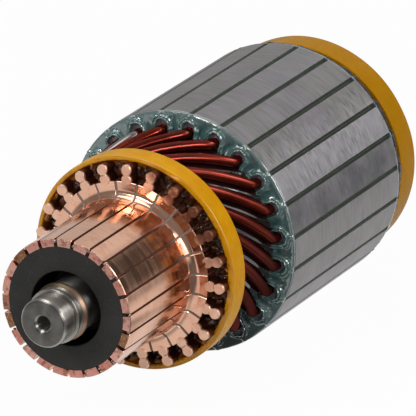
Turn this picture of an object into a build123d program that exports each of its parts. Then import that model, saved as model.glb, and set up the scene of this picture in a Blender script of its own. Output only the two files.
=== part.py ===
from build123d import *
import math
import os

os.makedirs("parts", exist_ok=True)

# Motor armature, in millimetres. The shaft lies along Y, with the commutator towards -Y and +Z up.
# The origin is the middle of the commutator-end journal. An angle runs from +X towards +Z.

# Core: a pack of steel sheets with half-closed slots, coated on its faces and in its slots
core_diameter = 60.0
core_length = 54.0
core_bore_radius = 8.0
slot_count = 23
top_slot_angle = 85.7
slot_width = 3.2
slot_below_rim = 2.0
slot_opening = 1.15
coat_in_slot = 0.25
coat_in_mouth_recess = 0.5
coat_on_face = 0.5
coat_rim_setback = 0.1
lip_width = 0.75
lip_height = 0.5
lip_reach = 4.8

# Coils: hairpins of round enamelled wire, one leg in the top layer and one in the bottom layer
wire_diameter = 2.45
headroom_over_wire = 1.3
room_under_wire = 0.4
layer_gap = 0.35
coil_span_slots = 6
bar_pitch_of_coil = 11
top_leg_slots = 2
slot_stub = 1.8
front_steps = 4
rear_steps = 6
rear_reach = 12.4
apex_drop = 1.1
apex_half_angle = 5.25
wire_bend_radius = 3.0
straight_past_riser = 1.2
bend_share_of_run = 0.45

# Commutator: copper bars with risers, held in a black moulding on a steel bush
bar_to_slot_shift = 5.8
track_diameter = 33.8
track_to_core = 55.0
riser_to_core = 25.7
riser_diameter = 42.0
riser_thickness = 5.2
riser_fillet = 2.2
bar_gap = 0.5
bar_thickness = 1.9
bar_edge_chamfer = 0.3
tail_depth = 2.6
tail_front_inset = 5.5
tail_rear_inset = 6.0
tail_undercut = 2.0
web_below_track = 0.8
moulding_past_riser = 1.4
moulding_rear_diameter = 36.0
recess_diameter = 18.1
recess_depth = 8.0
bush_wall = 1.6
welded_end_gap = 0.04
end_above_riser = 0.35

# Bands: resin and glass-fibre rings over the wires
band_thickness = 1.15
band_round = 0.45
front_band_width = 5.7
front_band_setback = 2.7
rear_band_width = 7.4
rear_band_to_core = 4.9

# Layer insulation: a varnished sheet between the two layers of wire
sheet_thickness = 0.16
sheet_end_room = 2.6

# Shaft: lengths are measured from one shoulder to the next, from the commutator end
journal_diameter = 11.8
journal_length = 4.7
end_chamfer = 0.5
centre_hole_diameter = 3.5
centre_hole_depth = 8.0
centre_hole_mouth = 0.45
drill_point_angle = 118.0
groove_length = 0.4
groove_depth = 0.3
shoulder_diameter = 13.2
shoulder_length = 0.7
neck_diameter = 12.2
neck_length = 1.6
seat_before_collar = 0.4
seat_diameter = 12.8
collar_diameter = 14.0
collar_length = 1.4
collar_to_commutator = 1.3
collar_chamfer = 0.25
middle_diameter = 15.0
rear_stub_length = 16.0
drive_journal_diameter = 12.0
drive_journal_length = 14.0

# Clearances, and how far a cutting shape runs past what it cuts
press_room = 0.01
bond_room = 0.02
band_room = 0.12
cut_past = 2.0

# Places along the shaft, worked out from the sizes above
journal_end = -journal_length / 2
shoulder_start = journal_end + journal_length + groove_length
commutator_front = (
    shoulder_start + shoulder_length + neck_length
    + seat_before_collar + collar_length + collar_to_commutator
)
core_front = commutator_front + track_to_core
core_rear = core_front + core_length
riser_face = core_front - riser_to_core
riser_back = riser_face + riser_thickness
seat_start = shoulder_start + shoulder_length + neck_length
collar_end = commutator_front - collar_to_commutator
moulding_rear = riser_back + moulding_past_riser
drive_shoulder = core_rear + rear_stub_length
shaft_end = drive_shoulder + drive_journal_length
front_band_start = riser_face + front_band_setback
rear_band_start = core_rear + rear_band_to_core
recess_end = commutator_front + recess_depth
leave_riser = riser_back + straight_past_riser
enter_slot = core_front - slot_stub
leave_slot = core_rear + slot_stub
end_bend_start = core_rear + rear_reach - apex_drop

# Radii worked out from the sizes above
pitch = 360 / slot_count
core_radius = core_diameter / 2
slot_top_radius = core_radius - slot_below_rim
wire_radius = wire_diameter / 2
top_layer_radius = slot_top_radius - headroom_over_wire - wire_radius
bottom_layer_radius = top_layer_radius - wire_diameter - layer_gap
slot_bottom_radius = bottom_layer_radius - wire_radius - room_under_wire
riser_radius = riser_diameter / 2
inner_end_radius = riser_radius + end_above_riser
outer_end_radius = inner_end_radius + wire_diameter + welded_end_gap
track_radius = track_diameter / 2
bar_inner_radius = track_radius - bar_thickness
seat_radius = seat_diameter / 2
bush_radius = seat_radius + bush_wall
middle_radius = middle_diameter / 2

# Turns of the two legs of a coil between the core and the risers, in degrees
top_leg_turn = top_leg_slots * pitch + bar_to_slot_shift
span_angle = coil_span_slots * pitch
bottom_leg_turn = bar_pitch_of_coil * pitch - span_angle - top_leg_turn


def at(y, radius, angle):
    """The point at this place along the shaft, distance from its axis and angle round it."""
    turn = math.radians(angle)
    return Vector(radius * math.cos(turn), y, radius * math.sin(turn))


def turned(shape, angle):
    """The shape turned about the shaft's axis, from +X towards +Z."""
    return Rot(0, -angle, 0) * shape


def section(y):
    """The plane across the shaft at this place, with its normal towards the commutator end."""
    return Plane.XZ.offset(-y)


def turning(*points):
    """A solid of revolution about the shaft, from its outline as (radius, place) points."""
    face = make_face(Polyline(*points, close=True))
    return revolve(face, axis=Axis.Y)


def save(shape, name):
    shape.label = name
    export_step(shape, f"parts/{name}.step")


# Slot outlines, lying along +X in the plane across the shaft
slot_outer_centre = slot_top_radius - slot_width / 2
slot_inner_centre = slot_bottom_radius + slot_width / 2


def slot_body(grow):
    """The round-ended slot, grown on every side."""
    middle = (slot_outer_centre + slot_inner_centre) / 2
    straight = slot_outer_centre - slot_inner_centre
    return Pos(middle, 0) * SlotCenterToCenter(straight, slot_width + 2 * grow)


def slot_mouth(grow, reach):
    """The narrow opening from the slot to this distance from the shaft's axis."""
    length = reach - slot_outer_centre
    return Pos(slot_outer_centre + length / 2, 0) * Rectangle(length, slot_opening + 2 * grow)


def all_slots(outline):
    """The outline repeated at each slot's angle."""
    return Sketch() + [
        Rot(0, 0, top_slot_angle + k * pitch) * outline for k in range(slot_count)
    ]


# Core: the steel pack lies between the coated faces
steel_slot = slot_body(coat_in_slot + bond_room) + slot_mouth(bond_room, core_radius + cut_past)
steel_slots = all_slots(steel_slot)
core_face = Circle(core_radius) - Circle(core_bore_radius + press_room) - steel_slots
steel_front = core_front + coat_on_face
steel_length = core_length - 2 * coat_on_face
core = extrude(section(steel_front) * core_face, amount=-steel_length)
save(core, "lamination_core")

# Core coating: one skin of epoxy over both faces and through every slot, which closes the slots'
# openings a little below the rim and stands up as a lip round each slot's outer end
clear_slots = all_slots(slot_body(0))
coat_radius = core_radius - coat_rim_setback
mouth_filling = slot_mouth(0, core_radius - coat_in_mouth_recess)
lining = all_slots(slot_body(coat_in_slot) + mouth_filling) - clear_slots
coating = extrude(section(core_front) * lining, amount=-core_length)

lip_band = all_slots(slot_body(lip_width))
lip_ring = Circle(slot_top_radius + lip_width) - Circle(slot_top_radius - lip_reach)
lip_face = (lip_band & lip_ring) - clear_slots
end_ring = Circle(coat_radius) - Circle(core_bore_radius + press_room) - clear_slots
for face_y, outward in ((core_front, 1), (core_rear, -1)):
    disc = extrude(section(face_y) * end_ring, amount=-outward * coat_on_face)
    lip = extrude(section(face_y) * lip_face, amount=outward * lip_height)
    coating = coating + disc + lip
save(coating, "core_coating")


# Coils: the wire follows straight runs joined by tangent arcs
def bend_radii(points):
    """For each corner, the wire's bend radius, or less where the runs beside it are short."""
    radii = []
    for before, corner, after in zip(points, points[1:], points[2:]):
        arriving = corner - before
        leaving = after - corner
        half_turn = math.radians(arriving.get_angle(leaving) / 2)
        room = bend_share_of_run * min(arriving.length, leaving.length)
        radii.append(min(wire_bend_radius, room / math.tan(half_turn)))
    return radii


def front_leg(slot_radius, end_radius, settle_radius, turn):
    """From the riser to the slot: straight in the riser, then a slanting run that rises to the slot."""
    leg = [at(riser_face, end_radius, turn), at(leave_riser, end_radius, turn)]
    for step in range(1, front_steps + 1):
        share = step / front_steps
        first = 1 / front_steps
        rise = (share - first) / (1 - first)
        radius = settle_radius + (slot_radius - settle_radius) * rise
        leg.append(at(leave_riser + (enter_slot - leave_riser) * share, radius, turn * (1 - share)))
    return leg


def rear_leg(slot_radius, direction):
    """From the slot to the start of the end bend, turning half of the coil's span."""
    sweep_angle = span_angle / 2 - apex_half_angle
    leg = []
    for step in range(rear_steps):
        share = step / (rear_steps - 1)
        place = leave_slot + (end_bend_start - leave_slot) * share
        leg.append(at(place, slot_radius, direction * sweep_angle * share))
    return leg


def moved(points, angle):
    """The points turned about the shaft's axis."""
    return [Vector(p.X, p.Y, p.Z).rotate(Axis.Y, -angle) for p in points]


settle_top = outer_end_radius
settle_bottom = settle_top - wire_diameter - layer_gap
top_half = front_leg(top_layer_radius, outer_end_radius, settle_top, top_leg_turn)
top_half += rear_leg(top_layer_radius, -1)
bottom_half = front_leg(bottom_layer_radius, inner_end_radius, settle_bottom, -bottom_leg_turn)
bottom_half += rear_leg(bottom_layer_radius, 1)
apex = at(core_rear + rear_reach, (top_layer_radius + bottom_layer_radius) / 2, -span_angle / 2)
route = top_half + [apex] + moved(bottom_half, -span_angle)[::-1]
centre_line = FilletPolyline(*route, radius=bend_radii(route))
wire_face = Plane(origin=centre_line @ 0, z_dir=centre_line % 0) * Circle(wire_radius)
coil = sweep(wire_face, path=centre_line)
wire_volume = math.pi * wire_radius**2 * centre_line.length
print("coil volume over section times length", round(coil.volume / wire_volume, 5))
for k in range(slot_count):
    save(turned(coil, top_slot_angle + k * pitch), f"coil_{k + 1:02d}")


# Commutator bars: a turned profile cut into wedges, with a dovetail tail inside the moulding
arc_start = riser_face - riser_fillet
arc_end_radius = track_radius + riser_fillet


def bar_profile():
    """Outline of a bar in the half-plane through the shaft, as a face of (radius, place)."""
    front = commutator_front
    tail_radius = bar_inner_radius - tail_depth
    tail_front = front + tail_front_inset
    tail_rear = riser_back - tail_rear_inset
    outline = Polyline(
        (track_radius, arc_start),
        (track_radius, front + bar_edge_chamfer),
        (track_radius - bar_edge_chamfer, front),
        (bar_inner_radius, front),
        (bar_inner_radius, tail_front),
        (tail_radius, tail_front - tail_undercut),
        (tail_radius, tail_rear + tail_undercut),
        (bar_inner_radius, tail_rear),
        (bar_inner_radius, riser_back),
        (riser_radius, riser_back),
        (riser_radius, riser_face),
        (arc_end_radius, riser_face),
    )
    fillet_arc = CenterArc((arc_end_radius, arc_start), riser_fillet, 90, 90)
    return make_face(outline + fillet_arc)


def bar_wedge(half_gap, reach):
    """The prism of one bar about +X: its sides run beside the rays between bars, half a gap away."""
    half_pitch = math.radians(pitch / 2)
    tip = half_gap / math.sin(half_pitch)
    side = reach * math.tan(half_pitch)
    wedge = make_face(Polyline((tip, 0), (tip + reach, side), (tip + reach, -side), close=True))
    length = riser_back - commutator_front + 2 * cut_past
    return extrude(section(commutator_front - cut_past) * wedge, amount=-length)


def bar_blank(grow):
    """One bar about +X without its wire seat, grown on every side."""
    profile = bar_profile()
    if grow:
        profile = offset(profile, amount=grow, kind=Kind.INTERSECTION)
    return revolve(profile, axis=Axis.Y) & bar_wedge(bar_gap / 2 - grow, riser_diameter)


seat_length = riser_thickness + 2 * cut_past
seat_cylinder = Cylinder(wire_radius + bond_room, seat_length, rotation=(90, 0, 0))
wire_seat = Pos(inner_end_radius, riser_face + riser_thickness / 2, 0) * seat_cylinder
bar = bar_blank(0) - wire_seat
bar_angle = top_slot_angle + top_leg_turn
for k in range(slot_count):
    save(turned(bar, bar_angle + k * pitch), f"commutator_bar_{k + 1:02d}")

# Commutator moulding: it fills the gaps between the bars to a little below their surface
web_radius = track_radius - web_below_track
web_riser_radius = riser_radius - web_below_track
web_face = riser_face + web_below_track
recess_radius = recess_diameter / 2
moulding_outline = Polyline(
    (arc_end_radius, web_face),
    (web_riser_radius, web_face),
    (web_riser_radius, riser_back),
    (moulding_rear_diameter / 2, riser_back),
    (moulding_rear_diameter / 2 - moulding_past_riser, moulding_rear),
    (bush_radius + press_room, moulding_rear),
    (bush_radius + press_room, recess_end),
    (recess_radius, recess_end),
    (recess_radius, commutator_front),
    (web_radius, commutator_front),
    (web_radius, arc_start),
)
web_arc = CenterArc((arc_end_radius, arc_start), riser_fillet + web_below_track, 90, 90)
moulding = revolve(make_face(moulding_outline + web_arc), axis=Axis.Y)
bar_pocket = bar_blank(bond_room)
pockets = [turned(bar_pocket, bar_angle + k * pitch) for k in range(slot_count)]
wire_seats = [turned(wire_seat, bar_angle + k * pitch) for k in range(slot_count)]
moulding = moulding - pockets - wire_seats
save(moulding, "commutator_moulding")

# Commutator bush: a steel sleeve inside the moulding
bush = turning(
    (seat_radius + press_room, recess_end),
    (bush_radius, recess_end),
    (bush_radius, moulding_rear),
    (seat_radius + press_room, moulding_rear),
)
save(bush, "commutator_bush")


# Bands: rings with rounded edges
def band(inner_radius, start, width):
    outer_radius = inner_radius + band_thickness
    ring = turning(
        (inner_radius, start),
        (outer_radius, start),
        (outer_radius, start + width),
        (inner_radius, start + width),
    )
    return fillet(ring.edges().filter_by(GeomType.CIRCLE), band_round)


save(band(outer_end_radius + wire_radius + band_room, front_band_start, front_band_width), "front_band")
save(band(top_layer_radius + wire_radius + band_room, rear_band_start, rear_band_width), "rear_band")

# Layer insulation: thin sleeves midway between the two layers
sheet_half = sheet_thickness / 2
between_layers = (top_layer_radius + bottom_layer_radius) / 2
between_settled = (settle_top + settle_bottom) / 2
settled = leave_riser + (enter_slot - leave_riser) / front_steps
front_sheet = turning(
    (between_settled - sheet_half, settled),
    (between_settled + sheet_half, settled),
    (between_layers + sheet_half, enter_slot),
    (between_layers - sheet_half, enter_slot),
)
save(front_sheet, "front_layer_insulation")
rear_sheet_end = end_bend_start - sheet_end_room
rear_sheet = turning(
    (between_layers - sheet_half, leave_slot),
    (between_layers + sheet_half, leave_slot),
    (between_layers + sheet_half, rear_sheet_end),
    (between_layers - sheet_half, rear_sheet_end),
)
save(rear_sheet, "rear_layer_insulation")

# Locking collar: pressed on the shaft in front of the commutator
collar_radius = collar_diameter / 2
collar_start = collar_end - collar_length
collar = turning(
    (seat_radius + press_room, collar_start),
    (collar_radius - collar_chamfer, collar_start),
    (collar_radius, collar_start + collar_chamfer),
    (collar_radius, collar_end - collar_chamfer),
    (collar_radius - collar_chamfer, collar_end),
    (seat_radius + press_room, collar_end),
)
save(collar, "locking_collar")

# Shaft: turned from one bar, with a centre hole in each end
journal_radius = journal_diameter / 2
drive_radius = drive_journal_diameter / 2
groove_start = journal_end + journal_length
shaft = turning(
    (0, journal_end),
    (journal_radius - end_chamfer, journal_end),
    (journal_radius, journal_end + end_chamfer),
    (journal_radius, groove_start),
    (journal_radius - groove_depth, groove_start),
    (journal_radius - groove_depth, shoulder_start),
    (shoulder_diameter / 2, shoulder_start),
    (shoulder_diameter / 2, shoulder_start + shoulder_length),
    (neck_diameter / 2, shoulder_start + shoulder_length),
    (neck_diameter / 2, seat_start),
    (seat_radius, seat_start),
    (seat_radius, moulding_rear),
    (middle_radius, moulding_rear),
    (middle_radius, core_front),
    (core_bore_radius, core_front),
    (core_bore_radius, core_rear),
    (middle_radius, core_rear),
    (middle_radius, drive_shoulder),
    (drive_radius, drive_shoulder),
    (drive_radius, shaft_end - end_chamfer),
    (drive_radius - end_chamfer, shaft_end),
    (0, shaft_end),
)
hole_radius = centre_hole_diameter / 2
mouth_radius = hole_radius + centre_hole_mouth
tip_depth = centre_hole_depth + hole_radius / math.tan(math.radians(drill_point_angle / 2))
for end, inward in ((journal_end, 1), (shaft_end, -1)):
    shaft = shaft - turning(
        (0, end),
        (mouth_radius, end),
        (hole_radius, end + inward * centre_hole_mouth),
        (hole_radius, end + inward * centre_hole_depth),
        (0, end + inward * tip_depth),
    )
save(shaft, "shaft")
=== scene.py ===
import math

import bmesh
import bpy
import numpy as np
from mathutils import Matrix, Vector, noise


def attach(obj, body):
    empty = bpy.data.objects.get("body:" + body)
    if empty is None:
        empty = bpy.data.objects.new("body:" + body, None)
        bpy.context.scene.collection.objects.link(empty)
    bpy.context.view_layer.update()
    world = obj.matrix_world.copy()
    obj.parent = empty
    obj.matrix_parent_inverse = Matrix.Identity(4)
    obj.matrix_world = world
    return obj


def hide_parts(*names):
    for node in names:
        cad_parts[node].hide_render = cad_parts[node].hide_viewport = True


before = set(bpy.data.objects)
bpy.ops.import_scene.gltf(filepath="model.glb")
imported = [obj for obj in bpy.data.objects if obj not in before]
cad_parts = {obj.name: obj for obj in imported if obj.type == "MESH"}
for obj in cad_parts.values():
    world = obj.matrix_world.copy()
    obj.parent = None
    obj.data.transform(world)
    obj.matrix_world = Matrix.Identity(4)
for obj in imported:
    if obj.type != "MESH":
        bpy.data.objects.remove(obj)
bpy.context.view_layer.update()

# Shaft
# One steel bar, turned between centres: a ground journal, a bright shoulder and a groove in front of the
# commutator, the seat that the commutator and the core are pressed on, and the drive-end journal.
MM = 0.001
shaft_steps = [
    (0.0, 5.6, 0), (1.75, 5.6, 0), (1.75, -1.8, 0.12), (2.35, -2.35, 0.12), (5.35, -2.35, 0.12),
    (5.9, -1.85, 0.15), (5.9, 2.35, 0.1), (5.6, 2.35, 0.05), (5.6, 2.75, 0.05), (6.6, 2.75, 0.12),
    (6.6, 3.45, 0.12), (6.1, 3.45, 0.05), (6.1, 5.05, 0.05), (6.4, 5.05, 0.08), (6.4, 44.05, 0.05),
    (7.5, 44.05, 0.3), (7.5, 133.15, 0.3), (6.0, 133.15, 0.1), (6.0, 146.65, 0.15), (5.5, 147.15, 0.12),
    (2.35, 147.15, 0.12), (1.75, 146.6, 0.12), (1.75, 139.2, 0), (0.0, 139.2, 0),
]


def part_way(first, last, share):
    return first + (last - first) * share


def around(radius, place, angle):
    """The point at this distance from the shaft's axis, place along it and angle round it, in radians."""
    return (radius * math.cos(angle), place, radius * math.sin(angle))


def strip(first, second, count, step=1):
    """The faces between two closed rings of points, whose numbers go up by this step."""
    pairs = [(i * step, (i + 1) % count * step) for i in range(count)]
    return [(first + i, first + j, second + j, second + i) for i, j in pairs]


def grid(start, rows, columns, closed=True, looped=False, capped=False):
    """The faces of a grid of points that are numbered row after row from start. Closed joins its last
    column to its first, looped its last row to its first, and capped closes both end rows."""
    faces = []
    for row in range(rows if looped else rows - 1):
        ring = strip(start + row * columns, start + (row + 1) % rows * columns, columns)
        faces += ring if closed else ring[:-1]
    if capped:
        faces += [tuple(range(end, end + columns)) for end in (start, start + (rows - 1) * columns)]
    return faces


def mesh_piece(name, points, edges=(), faces=()):
    """An object from points in millimetres."""
    mesh = bpy.data.meshes.new(name)
    mesh.from_pydata([[c * MM for c in point] for point in points], edges, faces)
    piece = bpy.data.objects.new(name, mesh)
    bpy.context.collection.objects.link(piece)
    return piece


def smoothed(piece, sharp_from):
    """Smooth shading, with edges sharper than this many degrees kept sharp."""
    piece.data.shade_smooth()
    piece.data.set_sharp_from_angle(angle=math.radians(sharp_from))
    return piece


def shell_piece(name, points, faces, finish=None, sharp_from=60):
    """A closed shell in its finish: doubles merged, normals outwards, smooth."""
    piece = mesh_piece(name, points, faces=faces)
    shell = bmesh.new()
    shell.from_mesh(piece.data)
    bmesh.ops.remove_doubles(shell, verts=shell.verts, dist=1e-7)
    bmesh.ops.recalc_face_normals(shell, faces=shell.faces)
    shell.to_mesh(piece.data)
    shell.free()
    if finish:
        piece.data.materials.append(finish.material)
    return smoothed(piece, sharp_from)


def eased_corners(outline, arc_steps):
    """A closed outline of (radius, place, corner round) with each rounded corner cut into a few points."""
    eased = []
    for i, (radius, place, corner) in enumerate(outline):
        here = Vector((radius, place))
        if corner == 0:
            eased.append(here)
            continue
        before = Vector(outline[i - 1][:2]) - here
        after = Vector(outline[(i + 1) % len(outline)][:2]) - here
        reach = min(corner, 0.45 * before.length, 0.45 * after.length)
        start = here + before.normalized() * reach
        end = here + after.normalized() * reach
        for step in range(arc_steps + 1):
            share = step / arc_steps
            eased.append(start.lerp(here, share).lerp(here.lerp(end, share), share))
    return eased


def turned_piece(name, outline, finish, sides=192, arc_steps=3, sharp_from=40, shift=None):
    """A closed shell turned about the shaft's axis. shift moves a point by its place and angle."""
    ring = eased_corners(outline, arc_steps)
    points = []
    for side in range(sides):
        angle = 2 * math.pi * side / sides
        for radius, place in ring:
            if shift:
                radius, place = shift(radius, place, angle)
            points.append(around(radius, place, angle))
    return shell_piece(name, points, grid(0, sides, len(ring), looped=True), finish, sharp_from)


def tint(colour):
    """A colour as the shader wants it: three numbers from 0 to 255 are converted, all else is kept."""
    if isinstance(colour, tuple) and len(colour) == 3:
        return tuple(((c / 255 + 0.055) / 1.055) ** 2.4 for c in colour) + (1.0,)
    return colour


def feed(node, inputs):
    """Plain values for a node's inputs, and links from other nodes' sockets."""
    for key, value in inputs.items():
        if isinstance(value, bpy.types.NodeSocket):
            node.id_data.links.new(value, node.inputs[key])
        else:
            node.inputs[key].default_value = value


def put(tree, kind, inputs=None, **settings):
    """A node with its settings and inputs: all its output sockets."""
    node = tree.nodes.new(kind)
    for name, value in settings.items():
        setattr(node, name, value)
    feed(node, inputs or {})
    return node.outputs


def joined(kind, inputs, **settings):
    """A node in the tree of the first socket among its inputs: all its output sockets."""
    tree = next(value.id_data for value in inputs.values() if isinstance(value, bpy.types.NodeSocket))
    return put(tree, kind, inputs, **settings)


def maths(operation, *values):
    return joined("ShaderNodeMath", dict(enumerate(values)), operation=operation)[0]


def times(first, second):
    return maths("MULTIPLY", first, second)


def times_plus(value, factor, added):
    return maths("MULTIPLY_ADD", value, factor, added)


def vector(operation, inputs, output=0):
    return joined("ShaderNodeVectorMath", inputs, operation=operation)[output]


def axes(place):
    return joined("ShaderNodeSeparateXYZ", {0: place})


def point(*parts):
    return joined("ShaderNodeCombineXYZ", dict(enumerate(parts)))[0]


def from_axis(place):
    """How far a place is from the shaft's axis."""
    parts = axes(place)
    return vector("LENGTH", {0: point(parts[0], parts[2])}, "Value")


def spread(value, low, high, to_low=0.0, to_high=1.0):
    """A value's range stretched onto another range, and held inside it."""
    inputs = {0: value, 1: low, 2: high, 3: to_low, 4: to_high}
    return joined("ShaderNodeMapRange", inputs, interpolation_type="SMOOTHSTEP")[0]


def varied(tone, low, high):
    """A noise's usual range stretched from low to high."""
    return spread(tone, 0.2, 0.8, low, high)


def layered(colour, *layers):
    """A colour with others laid over it. Each layer is a mask and its colour, or a value, where the
    layer starts and is full, how much it covers there, and its colour."""
    for mask, *fade, over in layers:
        if fade:
            starts, full, most = fade
            mask = spread(mask, starts, full, 0.0, most)
        colour = joined("ShaderNodeMix", {0: mask, 6: tint(colour), 7: tint(over)}, data_type="RGBA")[2]
    return colour


def node_group(kind, name, inputs, outputs):
    """A node group with named sockets, each given by its value or its type: the tree, its input
    sockets and its output node."""
    tree = bpy.data.node_groups.new(name, kind)
    for direction, sockets in (("INPUT", inputs), ("OUTPUT", outputs)):
        for label, value in sockets.items():
            plain = not isinstance(value, str)
            typed = {int: "Int", float: "Float"}[type(value)] if plain else value
            socket = tree.interface.new_socket(label, in_out=direction, socket_type=f"NodeSocket{typed}")
            if plain:
                socket.default_value = value
    return tree, tree.nodes.new("NodeGroupInput").outputs, tree.nodes.new("NodeGroupOutput")


# Tool marks: fine lines round the axis on turned faces, and wider bands of tone
tool_marks, given, out = node_group("ShaderNodeTree", "tool marks", {
    "Position": "Vector", "Lines": 9.0, "Break up": 3.0}, {"Height": "Float", "Tone": "Float"})
across = from_axis(given["Position"])
parts = axes(given["Position"])
along = times_plus(across, 0.83, parts[1])
safe_radius = maths("MAXIMUM", across, 0.01)
for label, share, detail in (("Height", 1.0, 4.0), ("Tone", 0.07, 2.0)):
    lines = times(along, times(given["Lines"], share))
    round_it = [times(maths("DIVIDE", part, safe_radius), given["Break up"]) for part in (parts[0], parts[2])]
    marks = joined("ShaderNodeTexNoise", {
        "Vector": point(lines, *round_it), "Scale": 1.0, "Detail": detail})
    feed(out, {label: marks["Fac"]})

# Mottle: soft patches of tone at a given size in millimetres
mottle, given, out = node_group("ShaderNodeTree", "mottle", {
    "Position": "Vector", "Size": 4.0, "Contrast": 1.0}, {"Tone": "Float", "Height": "Float"})
scaled = vector("SCALE", {0: given["Position"], "Scale": maths("DIVIDE", 1.0, given["Size"])})
height = joined("ShaderNodeTexNoise", {
    "Vector": scaled, "Scale": 1.0, "Detail": 5.0, "Roughness": 0.6})["Fac"]
tone = times_plus(maths("SUBTRACT", height, 0.5), given["Contrast"], 0.5)
tone = maths("MINIMUM", maths("MAXIMUM", tone, 0.0), 1.0)
feed(out, {"Tone": tone, "Height": height})


class Finish:
    """A material in the making, with the place on its surface in millimetres."""

    def __init__(self, name):
        self.material = bpy.data.materials.new(name)
        self.material.use_nodes = True
        self.tree = self.material.node_tree
        spot = put(self.tree, "ShaderNodeTexCoord")["Object"]
        self.place = vector("SCALE", {0: spot, "Scale": 1 / MM})

    def surface(self, inputs):
        """Values and links for the material's own shader."""
        feed(self.tree.nodes["Principled BSDF"], inputs)

    def marks(self, lines, break_up):
        inputs = {"Position": self.place, "Lines": lines, "Break up": break_up}
        return joined("ShaderNodeGroup", inputs, node_tree=tool_marks)

    def patches(self, size, contrast, place=None):
        inputs = {"Position": place or self.place, "Size": size, "Contrast": contrast}
        return joined("ShaderNodeGroup", inputs, node_tree=mottle)

    def stored(self, name):
        """What the mesh holds under this name."""
        return put(self.tree, "ShaderNodeAttribute", attribute_name=name)["Fac"]

    def raised(self, height, depth):
        """A bump with its depth in millimetres."""
        bump = joined("ShaderNodeBump", {"Height": height, "Strength": 1.0, "Distance": depth * MM})
        self.surface({"Normal": bump[0]})

    def lathe_turned(self, amount):
        """Lines round the axis draw each highlight out along the shaft."""
        tangent = put(self.tree, "ShaderNodeTangent", direction_type="RADIAL", axis="Y")[0]
        self.surface({"Tangent": tangent, "Anisotropic": amount, "Anisotropic Rotation": 0.25})


turned_steel = steel = Finish("turned steel")
marks, stain = steel.marks(8.0, 0.03), steel.patches(3.0, 2.2)
# The shaft's front end face is painted darker than the turned journal: painted shade.
shaded_end_face = layered((88, 86, 83), (stain["Tone"], (118, 115, 110)))
steel.surface({
    "Base Color": layered(
        (140, 137, 131), (marks["Tone"], (198, 195, 189)), (stain["Tone"], 0.3, 0.9, 0.3, (128, 120, 104)),
        (axes(steel.place)[1], -2.1, -2.3, 1.0, shaded_end_face)),
    "Roughness": varied(marks["Tone"], 0.28, 0.36), "Metallic": 1.0})
steel.lathe_turned(0.92)
steel.raised(marks["Height"], 0.004)

shaft = turned_piece("shaft", shaft_steps, turned_steel, sides=160)
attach(shaft, "root")
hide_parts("shaft")

# Locking collar
# A thin steel ring with a straw-gold tint from heating, pressed on the shaft in front of the hub.
collar_steps = [(6.41, 5.25, 0.05), (6.5, 5.25, 0.05), (7.0, 6.0, 0.14), (7.0, 6.6, 0.1), (6.8, 6.85, 0.1),
                (6.41, 6.85, 0.05)]

steel = Finish("straw-tinted steel")
marks = steel.marks(9.0, 1.5)
# The collar's right side is painted pinker and paler than its top: a painted sheen.
steel.surface({
    "Base Color": layered(
        (106, 96, 72), (axes(steel.place)[0], 1.0, 5.0, 1.0, (190, 154, 134)),
        (times(marks["Tone"], 0.5), (120, 106, 84))),
    "Roughness": varied(marks["Tone"], 0.36, 0.5), "Metallic": 1.0})
steel.lathe_turned(0.6)
steel.raised(marks["Height"], 0.006)

collar = turned_piece("locking_collar", collar_steps, steel, sides=128)
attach(collar, "root")
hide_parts("locking_collar")

# Commutator bush
# The steel sleeve inside the moulding, seen only at the bottom of the hub's recess and at its back.
bush_steps = [(6.41, 16.15, 0.05), (8.0, 16.15, 0.1), (8.0, 44.05, 0.1), (6.41, 44.05, 0.05)]


def clouded(name, size, contrast, dark, pale, roughness, bump=0.0, **shader):
    """A finish whose colour and roughness drift together in patches of one size."""
    finish = Finish(name)
    cloud = finish.patches(size, contrast)
    finish.surface({"Base Color": layered(dark, (cloud["Tone"], pale)),
                    "Roughness": varied(cloud["Tone"], *roughness)})
    finish.surface({label.replace("_", " "): value for label, value in shader.items()})
    if bump:
        finish.raised(cloud["Height"], bump)
    return finish


# The bush's steel is painted near-black: painted shade at the bottom of the hub's recess.
shade_darkened_steel = clouded("shade-darkened steel", 1.5, 2.0, (20, 19, 18), (34, 32, 30), (0.6, 0.8), 0.01,
                          Metallic=0.5)
bush = turned_piece("commutator_bush", bush_steps, shade_darkened_steel, sides=96)
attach(bush, "root")
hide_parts("commutator_bush")

# Lamination core
# A pack of thin electrical steel sheets with 23 half-closed slots, turned on its outside after winding,
# which leaves fine lines round it and a purple-grey cast. The sheets run across, half a millimetre each.
SLOTS = 23
PITCH = 2 * math.pi / SLOTS
TOP_SLOT = math.radians(85.7)
core_radius, bore_radius = 30.0, 8.01
core_front, core_rear = 63.15, 117.15
skin = 0.5
slot_half, slot_outer, slot_inner, mouth_half = 1.6, 26.4, 22.65, 0.575
lining, tooth_break, face_break = 0.27, 0.07, 0.12
tooth_tone_seed = 43781


def flat(radius, angle):
    """A point in the plane across the shaft, as (outward, sideways)."""
    return (radius * math.cos(angle), radius * math.sin(angle))


def open_slot(mouth, rim, arc_points=14, wall_points=7, mouth_points=6):
    """One slot's outline in the steel, open at the rim, as (outward, sideways) points."""
    half = slot_half + lining
    meet = math.asin(mouth / half)
    rim_start = math.sqrt(rim * rim - mouth * mouth)
    mouth_end = slot_outer + half * math.cos(meet)
    side = [(part_way(rim_start, mouth_end, i / mouth_points), mouth) for i in range(mouth_points)]
    for i in range(arc_points + 1):
        out_by, aside = flat(half, part_way(meet, math.pi / 2, i / arc_points))
        side.append((slot_outer + out_by, aside))
    side += [(part_way(slot_outer, slot_inner, i / wall_points), half) for i in range(1, wall_points + 1)]
    bottom = [flat(half, math.pi / 2 + math.pi * i / (2 * arc_points)) for i in range(1, 2 * arc_points)]
    bottom = [(slot_inner + out_by, aside) for out_by, aside in bottom]
    return side + bottom + [(out_by, -aside) for out_by, aside in side[::-1]]


def sector_point(out_by, aside, turn, place):
    """A point given beside a slot's middle line, turned to that slot."""
    return around(math.hypot(out_by, aside), place, math.atan2(aside, out_by) + turn)


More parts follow.
